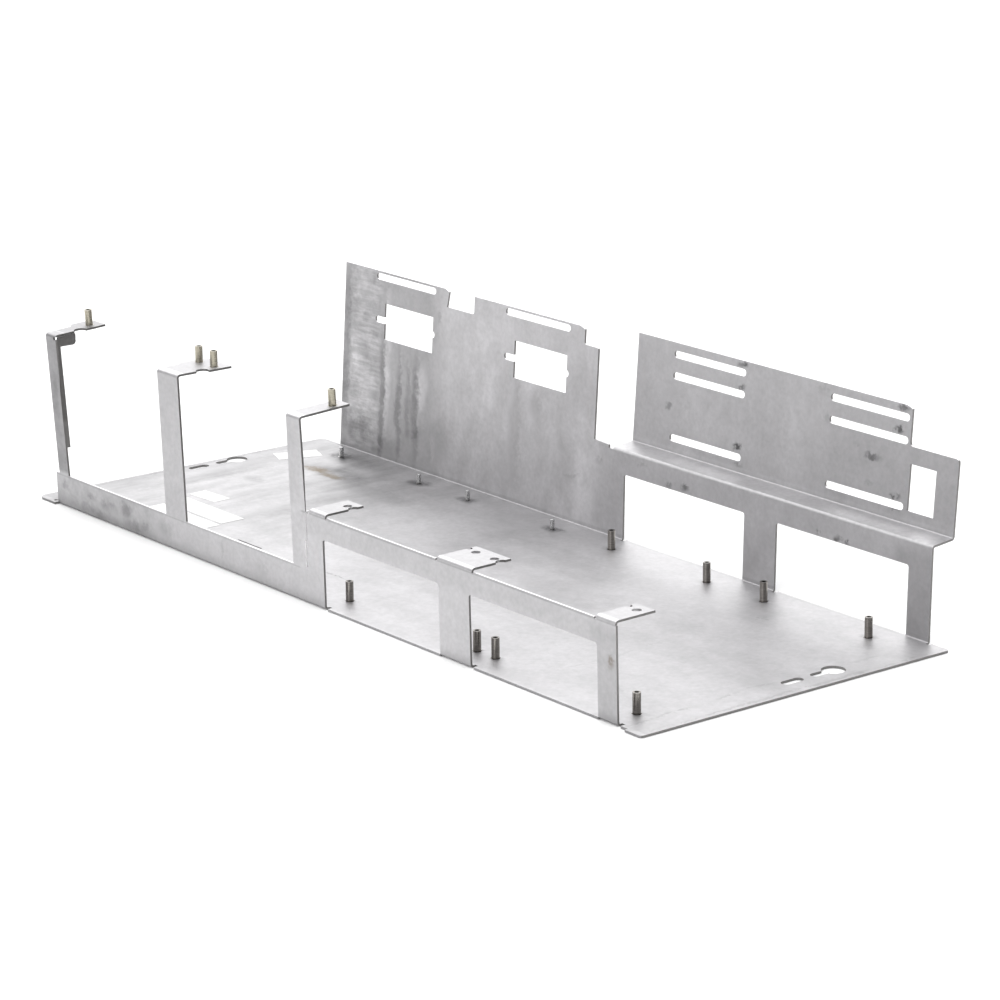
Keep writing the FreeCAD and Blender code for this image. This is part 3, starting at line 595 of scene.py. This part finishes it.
def sheet_material():
    """Bare satin sheet with clouds, handling marks, stains, painted shade at the bends, painted
    highlights on upward edges, and sheared edges dark as darker steel and as painted shade.
    """
    s = Shader("satin_sheet")
    grain = s.noise(2.6, detail=4.0)
    cloud = s.noise(85, detail=3.0)
    medium = s.noise(20, stretch=(0.7, 1, 1.5), detail=3.0)
    mottle = s.noise(11, detail=4.0, rough=0.6)
    lines = s.noise(26, stretch=(20, 0.7, 0.7), detail=3.0)
    brushed = s.noise(17, stretch=(1.0, 0.12, 0.16), detail=4.0, rough=0.65)
    fine = s.noise(0.5, stretch=(4, 1, 1), detail=2.0)
    s.waver(16, 7.0, grain, 1.6)
    towards_front = s.side(1, -1)
    upward, downward = s.side(2, 1), s.side(2, -1)

    shade = s.remap(cloud, 0.3, 0.7, SHEET_TONE * 0.95, SHEET_TONE * 1.05)
    for texture, change in ((mottle, 0.06), (grain, 0.06), (lines, 0.015)):
        shade = s.math("MULTIPLY", shade, s.remap(texture, 0.3, 0.7, 1 - change, 1 + change))
    shade = shade_regions(s, shade, towards_front)

    panel = s.both(s.block(*LEFT_PANEL, 0.8), towards_front)
    blotches = s.remap(mottle, 0.42, 0.60)
    shade = shade_panel(s, shade, panel, brushed, blotches, medium)
    patchy = s.remap(mottle, 0.35, 0.60, 0.55, 1.25)
    shade = s.tone(shade, s.both(wall_marks(s), patchy), towards_front)
    shade = s.tone(shade, s.both(base_marks(s), patchy), upward)
    shade = shade_grime(s, shade, blotches, towards_front)
    shade = shade_base(s, shade, blotches, upward)
    shade = paint_shade_at_bends(s, shade, towards_front)
    shade = paint_upper_edge_highlights(s, shade, upward)

    # Painted highlight: the narrow face beside the right arm is painted bright to hide the shade on
    # it, and the other sheared edges are dark, as darker steel and as painted shade
    sideways = s.remap(s.math("ABSOLUTE", s.facing[0]), 0.6, 0.8, smooth=True)
    step_face = s.block(*STEP_FACE, 0.2)
    shade = s.tone(shade, s.both(step_face, sideways), 0.9)
    sideways = s.both(sideways, s.math("SUBTRACT", 1.0, step_face))
    cut, tabs = cut_edges_and_shade(s, sideways, downward)
    tint = s.blend(1.0, SHEET_TINT, shade, "MULTIPLY")
    arms = s.both(s.remap(s.z, 51, 53), s.remap(s.y, 60, 50))
    cut_and_shade_tone = s.blend(s.math("MAXIMUM", tabs, arms), PALE_CUT_AND_SHADE, DARK_CUT_AND_SHADE)
    tint = s.blend(s.both(cut, s.remap(grain, 0.35, 0.65, 0.8, 1.0)), tint, cut_and_shade_tone)
    for middle, half, strength in BROWN_STAINS:
        tint = s.blend(s.both(s.spot(middle, half, strength), patchy), tint, BROWN)
    s.link(tint, s.body.inputs["Base Color"])
    s.body.inputs["Metallic"].default_value = 1.0

    roughness = s.remap(cloud, 0.3, 0.7, 0.48, 0.54)
    roughness = s.math("ADD", roughness, s.remap(mottle, 0.3, 0.7, -0.025, 0.03))
    roughness = s.math("MULTIPLY_ADD", cut, 0.16, roughness)
    roughness = s.math("MULTIPLY_ADD", panel, 0.05, roughness)
    s.link(roughness, s.body.inputs["Roughness"])
    wave = s.bump(s.noise(190, detail=1.0), 0.8, 0.5)
    texture = s.math("MULTIPLY_ADD", lines, 2.0, fine)
    s.link(s.bump(texture, 0.003, 0.8, wave), s.body.inputs["Normal"])
    return s.material


def fastener_material(name, light, dark, roughness):
    """Dull plated metal with fine turning lines, darker towards its foot."""
    s = Shader(name)
    grain = s.noise(0.8, detail=4.0)
    rings = s.noise(2.2, stretch=(1.6, 1.6, 0.08), detail=3.0)
    tone = s.blend(s.remap(rings, 0.3, 0.7), light, dark)
    foot = s.both(s.remap(s.z, SHEET, SHEET + FOOT_TONE_HEIGHT, 1.0, 0.0, smooth=True), 0.5)
    tone = s.blend(foot, tone, FASTENER_FOOT_TONE)
    s.link(tone, s.body.inputs["Base Color"])
    s.body.inputs["Metallic"].default_value = 1.0
    worn = s.remap(grain, 0.3, 0.7, roughness - 0.05, roughness + 0.08)
    s.link(worn, s.body.inputs["Roughness"])
    s.link(s.bump(rings, 0.03, 0.7), s.body.inputs["Normal"])
    return s.material


def paper_material():
    """Bare white paper with faint fibres."""
    s = Shader("paper")
    fibres = s.noise(0.6, stretch=(1, 3, 1), detail=5.0)
    cloud = s.noise(22, detail=2.0)
    tone = s.blend(s.remap(cloud, 0.3, 0.7), PAPER_LIGHT, PAPER_DARK)
    s.link(tone, s.body.inputs["Base Color"])
    s.link(s.remap(fibres, 0.3, 0.7, 0.5, 0.65), s.body.inputs["Roughness"])
    s.link(s.bump(fibres, 0.03, 0.6), s.body.inputs["Normal"])
    return s.material


def floor_material():
    """Pale matt floor."""
    s = Shader("pale_floor")
    cloud = s.noise(330, detail=2.0)
    tone = s.blend(s.remap(cloud, 0.3, 0.7), FLOOR_LIGHT, FLOOR_DARK)
    s.link(tone, s.body.inputs["Base Color"])
    s.link(s.remap(s.noise(3.3, detail=3.0), 0.3, 0.7, 0.7, 0.8), s.body.inputs["Roughness"])
    s.link(s.bump(s.noise(1.1, detail=2.0), 0.02, 0.3), s.body.inputs["Normal"])
    return s.material


def dress(obj, material):
    """Gives an object one material."""
    if obj.data.materials:
        for i in range(len(obj.data.materials)):
            obj.data.materials[i] = material
    else:
        obj.data.materials.append(material)


sheet_look = sheet_material()
base_standoff_look = fastener_material(*BASE_STANDOFF_PLATE)
tab_standoff_look = fastener_material(*TAB_STANDOFF_PLATE)
stud_look = fastener_material(*STUD_PLATE)
paper_look = paper_material()
looks = {
    "chassis": sheet_look,
    "base_standoff": base_standoff_look,
    "tab_standoff": tab_standoff_look,
    "base_stud": stud_look,
    "label": paper_look,
}

for name, node in nodes.items():
    for start, look in looks.items():
        if name.startswith(start):
            dress(node, look)

# ---------------------------------------------------------------- threads


def smooth_shape(name, rings, material):
    """Closed shape from rings of points, each ring joined to the next, with flat ends."""
    around = len(rings[0])
    verts = [point for ring in rings for point in ring]
    faces = []
    for row in range(len(rings) - 1):
        low, high = row * around, (row + 1) * around
        for i in range(around):
            j = (i + 1) % around
            faces.append((low + i, low + j, high + j, high + i))
    faces.append(tuple(range(around - 1, -1, -1)))
    top = (len(rings) - 1) * around
    faces.append(tuple(top + i for i in range(around)))
    mesh = bpy.data.meshes.new(name)
    mesh.from_pydata([tuple(v) for v in verts], [], faces)
    mesh.update()
    obj = bpy.data.objects.new(name, mesh)
    scene.collection.objects.link(obj)
    dress(obj, material)
    return obj


def threaded_stud(name, x, y):
    """Clinched stud: a hexagonal head in the sheet, a short undercut and a threaded shank."""
    top = SHEET + STUD_HEIGHT
    thread_start = SHEET + UNDERCUT_HEIGHT
    root = STUD_RADIUS - THREAD_DEPTH

    def ring(z, radius_at):
        """Points round the stud at a height, with a radius for each turn."""
        points = []
        for i in range(AROUND):
            turn = (i + 0.5) / AROUND
            radius = radius_at(turn)
            angle = turn * math.tau
            points.append(place(x + radius * math.cos(angle), y + radius * math.sin(angle), z))
        return points

    def head(turn):
        """Radius of a hexagon with flats across the set width."""
        sixth = math.tau / 6
        off = (turn * math.tau) % sixth - sixth / 2
        return STUD_HEAD_ACROSS / 2 / math.cos(off)

    rings = [ring(0.0, head), ring(SHEET, head)]
    rings.append(ring(SHEET, lambda turn: UNDERCUT_RADIUS))
    rings.append(ring(thread_start, lambda turn: UNDERCUT_RADIUS))
    rows = int((top - thread_start) / THREAD_PITCH * ROWS_PER_PITCH)
    for row in range(rows + 1):
        z = thread_start + (top - thread_start) * row / rows
        start = (z - thread_start) / THREAD_CHAMFER
        end = (top - z) / THREAD_CHAMFER + THREAD_END
        limit = max(0.0, min(1.0, start, end))

        def radius_at(turn):
            """Radius of the thread at this height."""
            phase = ((z - SHEET) / THREAD_PITCH - turn) % 1.0
            crest = min(1.0, max(0.0, CREST_TOP - abs(phase - 0.5) * CREST_SLOPE))
            return root + THREAD_DEPTH * crest * limit

        rings.append(ring(z, radius_at))
    return smooth_shape(name, rings, material=stud_look)


for number, x in enumerate(STUD_PLACES, 1):
    stud = threaded_stud("threaded_stud_%d" % number, x, STUD_ROW)
    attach(stud, "root")
    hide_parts("base_stud_%d" % number)

# ---------------------------------------------------------------- surroundings


def plane(name, size, middle, material):
    """Flat square on the floor's level."""
    half = size / 2
    mesh = bpy.data.meshes.new(name)
    x, y, z = middle
    corners = [(x - half, y - half, z), (x + half, y - half, z)]
    corners += [(x + half, y + half, z), (x - half, y + half, z)]
    mesh.from_pydata(corners, [], [(0, 1, 2, 3)])
    obj = bpy.data.objects.new(name, mesh)
    scene.collection.objects.link(obj)
    dress(obj, material)
    return obj


floor = plane("floor", FLOOR_SIZE, (0, 0, FLOOR_LEVEL), floor_material())


def softbox(name, spot, target, width, height, power):
    """Area light that faces a target and isn't seen itself."""
    data = bpy.data.lights.new(name, "AREA")
    data.shape = "RECTANGLE"
    data.size = width
    data.size_y = height
    data.energy = power
    lamp = bpy.data.objects.new(name, data)
    scene.collection.objects.link(lamp)
    lamp.location = spot
    lamp.rotation_mode = "QUATERNION"
    lamp.rotation_quaternion = (Vector(target) - Vector(spot)).to_track_quat("-Z", "Y")
    lamp.visible_camera = False
    return lamp


for light in LIGHTS:
    softbox(*light)

world = bpy.data.worlds.new("studio")
scene.world = world
world.use_nodes = True
backdrop = world.node_tree.nodes["Background"]
backdrop.inputs["Color"].default_value = (1, 1, 1, 1)

# The room is bright towards the left end and dim on the side where the camera stands
room = world.node_tree
direction = room.nodes.new("ShaderNodeTexCoord").outputs["Generated"]
lean = room.nodes.new("ShaderNodeVectorMath")
lean.operation = "DOT_PRODUCT"
lean.inputs[1].default_value = ROOM_DIRECTION
room.links.new(direction, lean.inputs[0])
dimming = room.nodes.new("ShaderNodeMapRange")
room_sockets = ("From Min", "From Max", "To Min", "To Max")
for socket, number in zip(room_sockets, ROOM_PLACES + ROOM_STRENGTHS):
    dimming.inputs[socket].default_value = number
room.links.new(lean.outputs["Value"], dimming.inputs["Value"])
room.links.new(dimming.outputs["Result"], backdrop.inputs["Strength"])

# ---------------------------------------------------------------- camera

azimuth = math.radians(CAMERA_AZIMUTH)
elevation = math.radians(CAMERA_ELEVATION)
roll = math.radians(CAMERA_ROLL)
flat = math.cos(elevation)
back = Vector((math.sin(azimuth) * flat, -math.cos(azimuth) * flat, math.sin(elevation)))
level_right = Vector((math.cos(azimuth), math.sin(azimuth), 0))
level_up = back.cross(level_right)
right = level_right * math.cos(roll) + level_up * math.sin(roll)
up = back.cross(right)
lens = bpy.data.cameras.new("photo_camera")
lens.lens = CAMERA_LENS
lens.sensor_width = 36.0
lens.clip_start = 0.05
lens.clip_end = 50.0
camera = bpy.data.objects.new("photo_camera", lens)
scene.collection.objects.link(camera)
camera.matrix_world = Matrix((
    (right.x, up.x, back.x, CAMERA_PLACE[0]),
    (right.y, up.y, back.y, CAMERA_PLACE[1]),
    (right.z, up.z, back.z, CAMERA_PLACE[2]),
    (0, 0, 0, 1),
))
scene.camera = camera
scene.view_settings.view_transform = "Standard"
